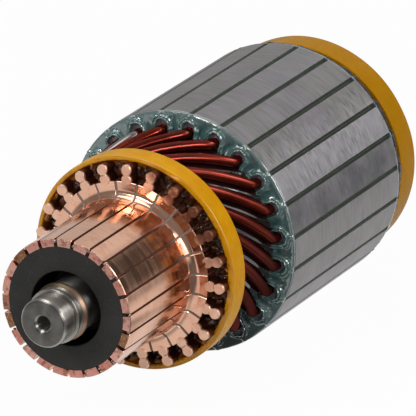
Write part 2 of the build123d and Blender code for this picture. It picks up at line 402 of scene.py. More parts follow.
core_steel = Finish("turned sheet steel")
marks, bands, streaks = (core_steel.marks(*sizes) for sizes in ((4.0, 13.0), (2.2, 0.6), (19.0, 4.0)))
cloud, own_tone = core_steel.patches(9.0, 1.8), core_steel.stored("tone")
worn = times(spread(own_tone, 0.35, 0.0, 0.0, 0.9), spread(cloud["Tone"], 0.1, 0.7, 1.0, 0.45))
core_steel.surface({
    "Base Color": layered(
        (122, 120, 118), (marks["Height"], (168, 166, 162)), (bands["Tone"], 0.35, 0.7, 0.5, (142, 136, 144)),
        (cloud["Tone"], 0.4, 0.8, 0.35, (166, 160, 168)), (streaks["Tone"], 0.45, 0.75, 0.22, (180, 176, 184)),
        (streaks["Tone"], 0.5, 0.25, 0.3, (104, 100, 108)), (worn, (84, 84, 90)),
        (own_tone, 0.6, 1.0, 0.2, (190, 188, 200))),
    "Roughness": spread(marks["Height"], 0.3, 0.7, 0.34, 0.5), "Metallic": 1.0})
core_steel.lathe_turned(0.5)
sheets = joined("ShaderNodeTexWave", {
    "Vector": core_steel.place, "Scale": 0.32, "Distortion": 0.4, "Detail": 1.0, "Detail Scale": 0.6},
    bands_direction="Y")
core_steel.raised(times_plus(sheets["Fac"], 0.25, marks["Height"]), 0.006)

steel_mouth = mouth_half + 0.02
mouth_angle = math.asin((steel_mouth + tooth_break) / core_radius)
rim = [part_way(PITCH / 2, mouth_angle, share) for share in (0, 0.25, 0.5, 0.75, 1)]
sheet_edge = [flat(core_radius, a) for a in rim] + open_slot(steel_mouth, core_radius - tooth_break)
sheet_edge += [flat(core_radius, -a) for a in rim[::-1]]
bore_edge = [flat(bore_radius, PITCH * share) for share in (0.5, 0.3, 0.1, -0.1, -0.3, -0.5)]
edge_count, row = len(sheet_edge), len(sheet_edge) + len(bore_edge)
steel_front, steel_rear = core_front + skin, core_rear - skin
levels = [(steel_front, face_break), (steel_front + face_break, 0.0), (steel_rear - face_break, 0.0),
          (steel_rear, face_break)]
points, faces = [], []
for slot in range(SLOTS):
    turn = TOP_SLOT + slot * PITCH
    base = len(points)
    for level, inset in levels:
        for out_by, aside in sheet_edge + bore_edge:
            reach = math.hypot(out_by, aside)
            shrink = (reach - inset) / reach if reach > core_radius - 0.05 else 1.0
            points.append(sector_point(out_by * shrink, aside * shrink, turn, level))
    faces += [face for face in grid(base, len(levels), row, closed=False)
              if (face[0] - base) % row != edge_count - 1]
    for start in (base, base + 3 * row):
        faces.append((*range(start, start + edge_count), *range(start + row - 1, start + edge_count - 1, -1)))
core = shell_piece("lamination_core", points, faces, core_steel, 30)
tooth_tones = np.random.default_rng(tooth_tone_seed).random(SLOTS)
middles = [face.center for face in core.data.polygons]
tooth_numbers = [math.floor((math.atan2(m.z, m.x) - TOP_SLOT) / PITCH) % SLOTS for m in middles]
tone = core.data.attributes.new("tone", "FLOAT", "FACE")
tone.data.foreach_set("value", tooth_tones[tooth_numbers])
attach(core, "root")
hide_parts("lamination_core")

# Core coating
# Green epoxy powder, fused on both faces of the core and through every slot. It closes the slots' narrow
# openings to a groove, and pulls into a thick glossy lip round each slot's outer end, with a neck to the
# rim.
lip_height = 0.72
lip_from, lip_full = 22.6, 24.2
neck_half, neck_from, neck_full = 0.62, 27.8, 28.3
skin_steps = (0.0, 0.05, 0.12, 0.2, 0.29, 0.38, 0.48, 0.58, 0.7, 0.82, 0.94, 1.06, 1.2, 1.4)
coat_rim = 29.92
rim_share, side_share = 0.3, 0.86
groove_top, groove_root, groove_half, groove_in = 29.2, 28.0, mouth_half + 0.015, 0.3
groove_rows = 56
groove_across = (-1.0, -0.86, -0.6, -0.3, 0.0, 0.3, 0.6, 0.86, 1.0)


def ramp(value, low, high):
    """How far a value is on its way from low to high, held between 0 and 1."""
    return max(0.0, min(1.0, (value - low) / (high - low)))


def closed_slot(grow, arc_points=18, wall_points=8):
    """One slot's round-ended outline, closed, as (outward, sideways) points from its outer end."""
    half = slot_half + grow
    quarter = [flat(half, math.pi / 2 * i / arc_points) for i in range(arc_points)]
    upper = [(slot_outer + out_by, aside) for out_by, aside in quarter]
    upper += [(part_way(slot_outer, slot_inner, i / wall_points), half) for i in range(wall_points)]
    upper += [(slot_inner - aside, out_by) for out_by, aside in quarter]
    lower = [(out_by, -aside) for out_by, aside in upper[:0:-1]]
    return [Vector(p) for p in upper + [(slot_inner - half, 0.0)] + lower]


def border_point(share):
    """The edge of one slot's sector, from the middle of its rim round to the bore and back."""
    half_share = min(share, 1 - share) * 2
    angle = PITCH / 2 * min(half_share / rim_share, 1, (1 - half_share) / (1 - side_share))
    reach = part_way(coat_rim, bore_radius, ramp(half_share, rim_share, side_share) ** 1.8)
    return Vector(flat(reach, angle if share <= 0.5 else -angle))


def dome(distance, middle, half_width):
    """The height of a round ridge of height 1."""
    return math.sqrt(max(0.0, 1 - ((distance - middle) / half_width) ** 2))


def lip_rise(distance, reach, aside, spot):
    """How far the coating stands off the sheet's face here: a rounded, uneven lip, and a neck to the rim."""
    distance += 0.14 * noise.noise(spot * 1.1 + Vector((2, 8, 4)))
    ridge = max(dome(distance, 0.24, 0.34), 0.62 * dome(distance, 0.82, 0.4), 0.3 if distance < 0.9 else 0.0)
    sides = ramp(reach, lip_from, lip_full)
    neck = dome(aside, 0, neck_half) * ramp(reach, neck_from, neck_full)
    uneven = (1.0 + 0.5 * noise.noise(spot * 0.9) + 0.3 * noise.noise(spot * 2.3)
              + 0.12 * noise.noise(spot * 4.3))
    flow = 0.14 * (1 + noise.noise(spot * 0.4 + Vector((7, 3, 1)))) * min(1.0, distance)
    return lip_height * max(ridge * sides, 0.55 * neck) * max(0.35, uneven) + flow


epoxy = Finish("green epoxy")
cloud, peel = epoxy.patches(2.2, 1.8), epoxy.patches(0.8, 1.0)
_, along, upwards = axes(epoxy.place)
radius_here = from_axis(epoxy.place)
from_middle = maths("ABSOLUTE", maths("SUBTRACT", along, (core_front + core_rear) / 2))
in_groove = times(spread(from_middle, 26.6, 26.2), spread(radius_here, 28.6, 28.9))
groove_green = layered((42, 48, 38), (radius_here, 29.35, 29.7, 1.0, (64, 76, 64)))
# Layer Weight's facing value pales the base colour at glancing angles: a painted sheen.
glancing_sheen = put(epoxy.tree, "ShaderNodeLayerWeight", {"Blend": 0.4})["Facing"]
# The coating is also painted darker towards the bottom of the core: painted shade.
epoxy.surface({
    "Base Color": layered(
        (36, 67, 68), (cloud["Tone"], (70, 110, 111)), (times(glancing_sheen, 0.3), (132, 160, 152)),
        (times_plus(cloud["Tone"], 0.35, from_middle), 27.35, 27.9, 0.75, (96, 130, 122)),
        (radius_here, 28.9, 29.6, 0.45, (108, 118, 114)), (upwards, -15.0, -26.0, 0.9, (20, 32, 30)),
        (in_groove, groove_green)),
    "Roughness": times_plus(in_groove, 0.3, varied(peel["Tone"], 0.08, 0.2)),
    "Coat Weight": times_plus(in_groove, -0.85, 1.0), "Coat Roughness": 0.03, "Coat IOR": 2.1})
epoxy.raised(times_plus(cloud["Height"], 3.0, peel["Height"]), 0.035)

clear_edge, lined_edge = closed_slot(0.0), closed_slot(0.25)
edge_count = len(clear_edge)
columns = []
for i, start in enumerate(clear_edge):
    end = border_point(i / edge_count)
    heading, run = (end - start).normalized(), (end - start).length
    steps = [start + heading * min(d, run * 0.8) for d in skin_steps]
    columns.append(steps + [steps[-1].lerp(end, share) for share in (0.4, 0.8, 0.93, 1.0)])
depth = len(columns[0])
tail = depth - 1
distances = [[min((p - q).length for q in clear_edge) for p in column] for column in columns]
points, faces = [], []
for slot in range(SLOTS):
    turn = TOP_SLOT + slot * PITCH
    starts = []
    for face_place, outward in ((core_front, -1), (core_rear, 1)):
        starts.append(len(points))
        for p, distance in zip(sum(columns, []), sum(distances, [])):
            spot = Vector(sector_point(p.x, p.y, turn, face_place))
            drop = 0.3 * max(0.0, (p.length - 29.5) / 0.42) ** 2
            level = face_place + outward * (lip_rise(distance, p.length, p.y, spot) - drop)
            points.append((spot.x, level, spot.z))
        starts.append(len(points))
        for lined, column in zip(lined_edge, columns):
            for under in (lined, column[-1]):
                points.append(sector_point(under.x, under.y, turn, face_place - outward * (skin + 0.02)))
    front, front_under, back, back_under = starts
    sides = ((front, front_under), (back, back_under))
    for top, under in sides:
        faces += grid(top, edge_count, depth, closed=False, looped=True)
        faces += grid(under, edge_count, 2, closed=False, looped=True)
    faces += strip(front, back, edge_count, depth) + strip(front_under, back_under, edge_count, 2)
    for i in range(edge_count):
        j = (i + 1) % edge_count
        reaches = [columns[i][-1].length, columns[j][-1].length]
        if min(reaches) > coat_rim - 0.01 or max(reaches) < bore_radius + 0.01:
            faces += [(top + i * depth + tail, top + j * depth + tail, under + 2 * j + 1, under + 2 * i + 1)
                      for top, under in sides]

    # The filled opening: a groove along the core, where the coating climbs the steel on both sides
    start = len(points)
    for row in range(groove_rows):
        level = part_way(core_front + groove_in, core_rear - groove_in, row / (groove_rows - 1))
        end_rise = 0.12 if row in (0, groove_rows - 1) else 0.0
        for share in groove_across:
            wave = noise.noise(Vector((share * 0.6, level * 0.35, slot * 3.7)))
            height = groove_top + 0.1 * wave + 0.62 * abs(share) ** 2.5 + end_rise * (1 - abs(share))
            points.append(sector_point(height, share * groove_half, turn, level))
        for share in (1.0, -1.0):
            points.append(sector_point(groove_root, share * groove_half, turn, level))
    faces += grid(start, groove_rows, len(groove_across) + 2, capped=True)
coating = shell_piece("core_coating", points, faces, epoxy)
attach(coating, "root")
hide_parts("core_coating")

# Slot varnish
# Grey baking varnish that fills each slot round its wires and shows at both ends of the core, a little
# below the green lip.
plug_rings = (0.0, 0.12, 0.3, 0.6, 1.0)
plug_edge, plug_depth = closed_slot(0.06), 1.2

grey_varnish = clouded("grey slot varnish", 0.8, 2.0, (64, 56, 64), (118, 122, 134), (0.2, 0.4), 0.09,
                       Coat_Weight=0.9, Coat_Roughness=0.05)
points, faces = [], []
wide = len(plug_edge)
for slot in range(SLOTS):
    turn = TOP_SLOT + slot * PITCH
    for face_place, inward in ((core_front, 1), (core_rear, -1)):
        base = len(points)
        for ring in plug_rings:
            for p in plug_edge:
                here = p.lerp(Vector((min(slot_outer, max(slot_inner, p.x)), 0.0)), ring)
                spot = Vector(sector_point(here.x, here.y, turn, face_place))
                sunk = -0.05 + 0.3 * min(1.0, ring * 2.4) + 0.1 * noise.noise(spot * 1.1)
                points.append((spot.x, face_place + inward * sunk, spot.z))
        under = len(points)
        points += [sector_point(p.x, p.y, turn, face_place + inward * plug_depth) for p in plug_edge]
        faces += grid(base, len(plug_rings), wide) + strip(base, under, wide)
        faces.append(tuple(range(under, under + wide)))
plugs = shell_piece("slot_varnish", points, faces, grey_varnish)
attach(plugs, "root")

# Hairpin coils
# Round copper wire with a red-brown enamel, bent to a hairpin: one leg in a slot's top layer, one in the
# bottom layer of the slot six further on, a tight bend at the drive end, and both ends run to the risers.
wire_radius = 1.225
riser_face, riser_back = 37.45, 42.65
leave_riser, enter_slot, leave_slot = 43.85, 61.35, 118.95
top_layer, bottom_layer = 25.475, 22.675
outer_end, inner_end = 23.84, 21.35
bar_shift = math.radians(5.8)
top_turn = 2 * PITCH + bar_shift
bottom_turn = 11 * PITCH - 6 * PITCH - top_turn
span = 6 * PITCH
bend_start, apex_place, apex_half = 128.45, 129.4, math.radians(5.25)
greyed_coil, greyed_from, greyed_to = 2, 46, 61.5


def leg(slot_radius, end_radius, settled, turn, rear_sense, steps=24):
    """One leg's centre line, from its end at the riser to the start of the bend at the drive end."""
    line = [around(end_radius, riser_face + 0.35, turn), around(end_radius, leave_riser, turn)]
    for share in [step / steps for step in range(1, steps + 1)]:
        radius = part_way(end_radius, settled, ramp(share, 0.0, 0.25))
        radius += (slot_radius - settled) * ramp(share, 0.25, 1.0)
        line.append(around(radius, part_way(leave_riser, enter_slot, share), turn * (1 - share)))
    rear_turn = rear_sense * (span / 2 - apex_half)
    return line + [around(slot_radius, part_way(leave_slot, bend_start, step / steps), rear_turn * step / steps)
                   for step in range(steps + 1)]


def eased_line(line, reach, spacing=0.2):
    """The line resampled, with its corners eased over this reach."""
    knots = np.array(line)
    gone = np.concatenate([[0], np.cumsum(np.linalg.norm(np.diff(knots, axis=0), axis=1))])
    stations = np.linspace(0, gone[-1], int(gone[-1] / spacing) + 1)
    dense = np.stack([np.interp(stations, gone, knots[:, axis]) for axis in range(3)], axis=1)
    half = int(reach / spacing / 2)
    window = np.ones(2 * half + 1) / (2 * half + 1)
    for _ in range(2):
        lead = dense[0] + (dense[0] - dense[1]) * np.arange(half, 0, -1)[:, None]
        tail = dense[-1] + (dense[-1] - dense[-2]) * np.arange(1, half + 1)[:, None]
        padded = np.concatenate([lead, dense, tail])
        dense = np.stack([np.convolve(padded[:, axis], window, "valid") for axis in range(3)], axis=1)
    return dense


def thinned(dense, most_turn=4.5, longest=14.0):
    """The dense line with only the points that its bends need."""
    kept = [0]
    heading = dense[1] - dense[0]
    for i in range(1, len(dense) - 1):
        next_heading = dense[i + 1] - dense[i]
        cosine = np.dot(heading, next_heading) / (np.linalg.norm(heading) * np.linalg.norm(next_heading))
        turned_by = math.degrees(math.acos(max(-1.0, min(1.0, cosine))))
        if turned_by > most_turn or np.linalg.norm(dense[i] - dense[kept[-1]]) > longest:
            kept.append(i)
            heading = next_heading
    return dense[kept + [len(dense) - 1]]


top_line = leg(top_layer, outer_end, outer_end, top_turn, -1)
bottom_line = leg(bottom_layer, inner_end, outer_end - 2.8, -bottom_turn, 1)
to_other_slot = Matrix.Rotation(span, 3, "Y")
bottom_line = [tuple(to_other_slot @ Vector(p)) for p in bottom_line]
apex = around((top_layer + bottom_layer) / 2, apex_place, -span / 2)
hairpin = thinned(eased_line(top_line + [apex] + bottom_line[::-1], 2.4))


# Geometry Nodes: a bent wire along a line of points, and a ring of copies round the shaft
def ended(out, geometry, material):
    """The tree's end: real geometry with its material."""
    real = joined("GeometryNodeRealizeInstances", {0: geometry})[0]
    feed(out, {0: joined("GeometryNodeSetMaterial", {"Geometry": real, "Material": material})[0]})


def wandering(geometry, amount, noise_inputs, dimensions):
    """The geometry with each point moved by a noise of its place."""
    here = put(geometry.id_data, "GeometryNodeInputPosition")[0]
    wander = joined("ShaderNodeTexNoise", {"Vector": here, **noise_inputs}, noise_dimensions=dimensions)
    away = vector("SUBTRACT", {0: wander["Color"], 1: (0.5, 0.5, 0.5)})
    offset = vector("SCALE", {0: away, "Scale": amount})
    return joined("GeometryNodeSetPosition", {"Geometry": geometry, "Offset": offset})[0]


wire_tree, given, out = node_group("GeometryNodeTree", "bent wire", {
    "Geometry": "Geometry", "Wire Radius": 0.001, "Sides": 16, "Material": "Material"},
    {"Geometry": "Geometry"})
curve = joined("GeometryNodeMeshToCurve", {0: given["Geometry"]})[0]
even = joined("GeometryNodeSetCurveNormal", {0: curve})[0]
profile = joined("GeometryNodeCurvePrimitiveCircle", {
    "Resolution": given["Sides"], "Radius": given["Wire Radius"]})[0]
tube = joined("GeometryNodeCurveToMesh", {"Curve": even, "Profile Curve": profile, "Fill Caps": True})[0]
ended(out, tube, given["Material"])

ring_tree, given, out = node_group("GeometryNodeTree", "ring of copies", {
    "Geometry": "Geometry", "Count": SLOTS, "First Angle": 0.0, "Step Angle": PITCH, "Unevenness": 0.0,
    "Fineness": 300.0, "Seed": 1, "Material": "Material"}, {"Geometry": "Geometry"})
number = put(ring_tree, "GeometryNodeInputIndex")[0]
angle = times_plus(number, given["Step Angle"], given["First Angle"])
lean = joined("ShaderNodeCombineXYZ", {1: times(angle, -1.0)})[0]
copies = joined("GeometryNodeInstanceOnPoints", {
    "Points": joined("GeometryNodePoints", {"Count": given["Count"]})[0], "Instance": given["Geometry"],
    "Rotation": joined("FunctionNodeEulerToRotation", {0: lean})[0]})[0]
chance = joined("FunctionNodeRandomValue", {"ID": number, "Seed": given["Seed"]}, data_type="FLOAT")
toned = joined("GeometryNodeStoreNamedAttribute", {
    "Geometry": copies, "Name": "tone", "Value": chance[1]}, data_type="FLOAT", domain="INSTANCE")[0]
real = joined("GeometryNodeRealizeInstances", {0: toned})[0]
own_tone, loose = (
    put(ring_tree, "GeometryNodeInputNamedAttribute", {"Name": name}, data_type="FLOAT")[0]
    for name in ("tone", "loose"))
moved = wandering(real, times(loose, times(given["Unevenness"], 2.0)), {
    "W": times(own_tone, 40.0), "Scale": given["Fineness"], "Detail": 1.0}, "4D")
ended(out, moved, given["Material"])


def grown(piece, tree, values):
    """The tree run on the piece, and its result kept as the piece's plain mesh."""
    modifier = piece.modifiers.new(tree.name, "NODES")
    modifier.node_group = tree
    for socket in tree.interface.items_tree:
        if socket.item_type == "SOCKET" and socket.in_out == "INPUT" and socket.name in values:
            modifier[socket.identifier] = values[socket.name]
    graph = bpy.context.evaluated_depsgraph_get()
    mesh = bpy.data.meshes.new_from_object(piece.evaluated_get(graph), preserve_all_data_layers=True,
                                           depsgraph=graph)
    piece.modifiers.remove(modifier)
    piece.data = mesh
    return piece


def point_values(piece, name, values):
    """One stored number for each point of the piece's mesh."""
    piece.data.attributes.new(name, "FLOAT", "POINT").data.foreach_set("value", values)


def free_share(place):
    """How free a wire is to wander here: held at the risers and in the slots, free between them."""
    return max(ramp(place, 46.0, 50.0) * ramp(place, 61.0, 57.0),
               ramp(place, 119.5, 123.5) * ramp(place, 132.0, 129.0))


enamel = Finish("enamelled copper")
drift, fine = enamel.patches(5.0, 1.6), enamel.patches(0.9, 1.4)
sideways, along, upwards = axes(enamel.place)
greyed = times_plus(fine["Tone"], 0.5, enamel.stored("greyed"))
# The wires are painted darker towards the bottom right, as painted shade; there they are also rougher and less
# coated.
shaded_low_right = times(spread(upwards, 13.0, -9.0), spread(sideways, 0.0, 6.0))
bared = times_plus(fine["Tone"], 1.6, along)
enamel.surface({
    "Base Color": layered(
        (88, 24, 12), (drift["Tone"], (140, 44, 25)), (times(enamel.stored("tone"), 0.45), (78, 20, 14)),
        (greyed, 0.6, 1.0, 1.0, (150, 146, 142)), (times(shaded_low_right, 0.85), (54, 32, 28)),
        (bared, 44.4, 43.6, 1.0, (214, 150, 122))),
    "Roughness": times_plus(shaded_low_right, 0.35, varied(fine["Tone"], 0.15, 0.25)), "Metallic": 0.85,
    "Specular Tint": (0.8, 0.38, 0.28, 1.0),
    "Coat Weight": times_plus(shaded_low_right, -0.22, 0.22), "Coat Roughness": 0.06})
enamel.raised(drift["Height"], 0.02)

coils = mesh_piece("hairpin_coils", hairpin, edges=[(i, i + 1) for i in range(len(hairpin) - 1)])
grown(coils, wire_tree, {"Wire Radius": wire_radius * MM, "Sides": 18, "Material": enamel.material})
point_values(coils, "loose", [free_share(v.co.y / MM) for v in coils.data.vertices])
grown(coils, ring_tree, {"First Angle": TOP_SLOT, "Unevenness": 0.35 * MM, "Fineness": 90.0, "Seed": 4,
                         "Material": enamel.material})
# One wire near the top is coloured pale grey along one leg, between the band and its slot
each = len(coils.data.vertices) // SLOTS
point_values(coils, "greyed", [
    float(number // each == greyed_coil and number % each < each / 2
          and greyed_from < vertex.co.y / MM < greyed_to)
    for number, vertex in enumerate(coils.data.vertices)])
smoothed(coils, 60)
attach(coils, "root")
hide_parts(*[f"coil_{k + 1:02d}" for k in range(SLOTS)])

# Layer insulation
# A varnished sheet between the two layers of wire, in front of the core and behind it. The dark varnish
# climbs up the wires on both sides, and those ridges shine as strips beside each wire.
ridge_rows, ridge_columns = 30, 24


def varnished_sheet(name, start, end, start_radius, end_radius, start_turn, end_turn):
    """The sheet with its varnish ridges, which follow the top layer of wires above it."""
    sides = SLOTS * ridge_columns
    upper, lower = [], []
    for row in range(ridge_rows):
        share = row / (ridge_rows - 1)
        place = part_way(start, end, share)
        middle = part_way(start_radius, end_radius, ramp(share, 0.2, 1.0))
        for column in range(sides):
            across_gap = (column % ridge_columns) / ridge_columns
            angle = TOP_SLOT + PITCH * column / ridge_columns + part_way(start_turn, end_turn, share)
            spot = Vector(around(middle, place, angle))
            uneven = 1 + 0.25 * noise.noise(spot * 0.5) + 0.08 * noise.noise(spot * 1.9)
            bead = math.exp(-((across_gap - 0.76) / (0.04 + 0.03 * share)) ** 2)
            ridge = 0.09 + (0.75 * bead + 0.25 * (2 * across_gap - 1) ** 2) * uneven
            upper.append(around(middle + ridge, place, angle))
            lower.append(around(middle - 0.1, place, angle))
    under = len(upper)
    faces = grid(0, ridge_rows, sides) + grid(under, ridge_rows, sides)
    for edge in (0, (ridge_rows - 1) * sides):
        faces += strip(edge, under + edge, sides)
    return shell_piece(name, upper + lower, faces, varnish, 70)


varnish = Finish("varnished sheet")
cloud, ripple = varnish.patches(2.6, 2.0), varnish.patches(1.1, 1.0)
varnish.surface({
    "Base Color": layered((20, 10, 10), (cloud["Tone"], (46, 23, 21))),
    "Roughness": varied(ripple["Tone"], 0.05, 0.14), "Coat Weight": 0.8, "Coat Roughness": 0.04})
varnish.raised(ripple["Height"], 0.025)

gap_middle = PITCH / 2
for node, *shape in (
        ("front_layer_insulation", 43.7, 62.9, 22.45, 24.07, top_turn - gap_middle, -gap_middle),
        ("rear_layer_insulation", 117.6, 126.2, 24.07, 24.07, -gap_middle,
         -(span / 2 - apex_half) * 0.86 - gap_middle)):
    piece = varnished_sheet(node, *shape)
    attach(piece, "root")
    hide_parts(node)

# Commutator bars
# Copper segments, turned and polished as one: a brush track, a concave fillet and a riser. Their front
# ends are sawn and stay rough and reddish, and the gaps between them are undercut.
track_radius, commutator_front, fillet_radius = 16.9, 8.15, 2.2
bar_inner, riser_radius, bar_gap = 15.0, 21.0, 0.5
edge_break, end_break = 0.09, 0.3
across_bar = (-1.0, -0.96, -0.6, -0.2, 0.2, 0.6, 0.96, 1.0)
BAR_ANGLE = TOP_SLOT + top_turn


def drawn_in(profile, by):
    """The outline moved inwards by this much, for the eased long edges."""
    drawn = []
    for i, here in enumerate(profile):
        before, after = Vector(profile[i - 1]), Vector(profile[(i + 1) % len(profile)])
        along_edge = (after - before).normalized()
        drawn.append((here[0] - along_edge.y * by, here[1] + along_edge.x * by))
    return drawn


# The bar's outline as (radius, place), front to riser
track_start, fillet_start = commutator_front + end_break, riser_face - fillet_radius
track = [(track_radius, part_way(track_start, fillet_start, i / 8)) for i in range(8)]
profile = [(bar_inner, commutator_front), (track_radius - end_break, commutator_front),
           (track_radius - 0.09, commutator_front + 0.09), track[0], (track_radius, track_start + 0.15),
           *track[1:]]
for angle in [math.pi / 2 * i / 12 for i in range(13)]:
    out_by, aside = flat(fillet_radius, angle)
    profile.append((track_radius + fillet_radius - out_by, fillet_start + aside))
profile += [(riser_radius - 0.12, riser_face), (riser_radius, riser_face + 0.12), (riser_radius, riser_back),
            (bar_inner, riser_back)]
narrow = drawn_in(profile, edge_break)
points = []
for share in across_bar:
    for radius, bar_place in (narrow if abs(share) == 1.0 else profile):
        drawn = 0.2 * max(0.0, 1 - (bar_place - commutator_front) / 0.55)
        half_angle = PITCH / 2 - math.asin((bar_gap / 2 + drawn) / radius)
        points.append(around(radius, bar_place, half_angle * share))
faces = grid(0, len(across_bar), len(profile), capped=True)
bars = shell_piece("commutator_bars", points, faces, sharp_from=32)

copper = Finish("turned copper")
own_tone = copper.stored("tone")
along = axes(copper.place)[1]
marks = copper.marks(12.0, 0.9)
orange_patches, grit, blotch = (copper.patches(*sizes) for sizes in ((5.0, 2.0), (0.35, 2.0), (1.3, 3.0)))
# Orange patches tint the track, strongest on its rear end towards the fillet and riser.
near_weld = times(spread(along, 23.0, 30.5), spread(along, 36.5, 34.5))
orange_near_riser = times(near_weld, spread(orange_patches["Tone"], 0.25, 0.7, 0.1, 0.75))
sawn = layered(
    (186, 112, 98), (grit["Tone"], (232, 158, 142)), (times(own_tone, 0.6), (240, 196, 182)),
    (own_tone, 0.14, 0.07, 0.8, (136, 100, 62)), (blotch["Tone"], 0.5, 1.0, 0.6, (96, 52, 42)))
front_face = spread(times_plus(grit["Tone"], 0.35, along), 8.5, 8.36)
copper.surface({
    "Base Color": layered(
        (235, 179, 149), (marks["Tone"], (248, 204, 178)), (orange_patches["Tone"], 0.45, 0.9, 0.4, (206, 132, 98)),
        (times(own_tone, 0.25), (214, 160, 134)), (orange_near_riser, (214, 122, 62)), (front_face, sawn)),
    "Roughness": times_plus(front_face, 0.35, varied(marks["Tone"], 0.1, 0.22)),
    "Metallic": 1.0, "Anisotropic": 0.35})
rough_end = times(grit["Height"], front_face)
copper.raised(times_plus(rough_end, 20.0, marks["Height"]), 0.003)

grown(bars, ring_tree, {"First Angle": BAR_ANGLE, "Seed": 9, "Material": copper.material})
smoothed(bars, 32)
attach(bars, "root")
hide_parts(*[f"commutator_bar_{k + 1:02d}" for k in range(SLOTS)])

# Welded wire ends
# At each riser the bare ends of two wires are welded to the bar and turned flush with it, so that the
# inner end melts into the riser and the outer end stands over it like the bow of a key.
weld_front, weld_back = riser_face - 0.05, 43.6
key_round, key_neck = 1.3, 0.84
key_low, key_high = inner_end - key_round, outer_end + key_round


def key_width(out_by):
    """Half the width of the two fused ends at this distance from the shaft's axis."""
    rounds = [math.sqrt(max(0.0, key_round ** 2 - (out_by - end) ** 2)) for end in (inner_end, outer_end)]
    return max(*rounds, key_neck if inner_end < out_by < outer_end else 0.0)


stations = [part_way(key_low, key_high, (1 - math.cos(math.pi * i / 34)) / 2) for i in range(35)]
key_edge = [(s, key_width(s)) for s in stations] + [(s, -key_width(s)) for s in stations[-2:0:-1]]
centre = Vector(((inner_end + outer_end) / 2, 0.0))
levels = [(weld_front, 0.12), (weld_front + 0.09, 0.03), (weld_front + 0.25, 0.0), (weld_front + 2.5, 0.0),
          (weld_back, 0.0)]
points = []
for level, inset in levels:
    for out_by, aside in key_edge:
        inward = (centre - Vector((out_by, aside))).normalized() * inset
        points.append((out_by + inward.x, level, aside + inward.y))
faces = grid(0, len(levels), len(key_edge), capped=True)
welds = shell_piece("welded_wire_ends", points, faces, sharp_from=35)
point_values(welds, "loose", [1.0] * len(welds.data.vertices))

weld_copper = Finish("welded copper")
marks, cloud = weld_copper.marks(6.0, 4.0), weld_copper.patches(1.2, 2.0)
direction = vector("NORMALIZE", {0: weld_copper.place})
upper_right = vector("DOT_PRODUCT", {0: direction, 1: (0.707, 0.0, 0.707)}, "Value")
# The wire ends on the upper right are painted dark brown: a painted dark reflection.
dark_reflection_upper_right = times(spread(upper_right, 0.44, 0.49), spread(cloud["Tone"], 0.0, 0.6, 0.55, 0.95))
seam_radius = times_plus(cloud["Tone"], 0.5, from_axis(weld_copper.place))
from_seam = maths("ABSOLUTE", maths("SUBTRACT", seam_radius, 22.8))
seam = times(spread(from_seam, 0.14, 0.04), spread(cloud["Tone"], 0.42, 0.55, 0.1, 0.8))
behind = times_plus(cloud["Tone"], 0.5, axes(weld_copper.place)[1])
weld_copper.surface({
    "Base Color": layered(
        (238, 182, 152), (marks["Tone"], (252, 212, 186)), (dark_reflection_upper_right, (120, 74, 52)), (seam, (78, 44, 32)),
        (behind, 38.0, 38.5, 1.0, (92, 46, 28))),
    "Roughness": varied(cloud["Tone"], 0.3, 0.5), "Metallic": 0.85})
weld_copper.raised(maths("ADD", marks["Height"], cloud["Height"]), 0.008)

grown(welds, ring_tree, {"First Angle": BAR_ANGLE, "Unevenness": 0.22 * MM, "Fineness": 700.0, "Seed": 6,
                         "Material": weld_copper.material})
smoothed(welds, 35)
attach(welds, "root")

# Commutator moulding
# Black thermoset resin with glass fibre, moulded round the bars and the bush, with a deep recess in
# front. It shows in the gaps between the bars, where polishing dust has greyed it near the risers.
hub_steps = [
    (9.05, 16.15, 0.3), (9.05, 8.15, 0.35), (14.97, 8.15, 0.1), (14.97, 8.45, 0), (15.3, 8.5, 0.1),
    (15.4, 9.3, 0.1), (16.1, 10.4, 0.1), (16.1, 33.2, 0), (16.75, 35.25, 0), (16.95, 36.12, 0),
    (17.45, 36.9, 0), (18.22, 37.4, 0), (19.1, 37.57, 0), (20.85, 37.57, 0.1), (20.85, 42.65, 0),
    (18.0, 42.65, 0.3), (16.6, 44.05, 0.3), (8.01, 44.05, 0.1), (8.01, 16.15, 0),
]

moulded = Finish("black moulding")
speck, cloud = moulded.patches(0.5, 2.4), moulded.patches(6.0, 1.6)
along, radius_here = axes(moulded.place)[1], from_axis(moulded.place)
near_riser = times(spread(along, 32.5, 36.0), spread(along, 38.0, 37.65))
web = layered((80, 46, 34), (near_riser, (128, 112, 104)))
# The hub's recess is painted near-black, as painted shade, and made rough and less specular.
recess_shade = times(spread(radius_here, 9.35, 9.1), spread(along, 8.3, 8.7))
moulded.surface({
    "Base Color": layered(
        (32, 31, 30), (cloud["Tone"], (48, 47, 45)), (speck["Tone"], 0.6, 1.0, 0.5, (70, 70, 70)),
        (recess_shade, (7, 7, 7)), (radius_here, 15.6, 16.0, 1.0, web)),
    "Roughness": maths("MAXIMUM", varied(speck["Tone"], 0.45, 0.62), recess_shade),
    "Specular IOR Level": times_plus(recess_shade, -0.2, 0.25)})
moulded.raised(speck["Height"], 0.03)

moulding = turned_piece("commutator_moulding", hub_steps, moulded)
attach(moulding, "root")
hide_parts("commutator_moulding")

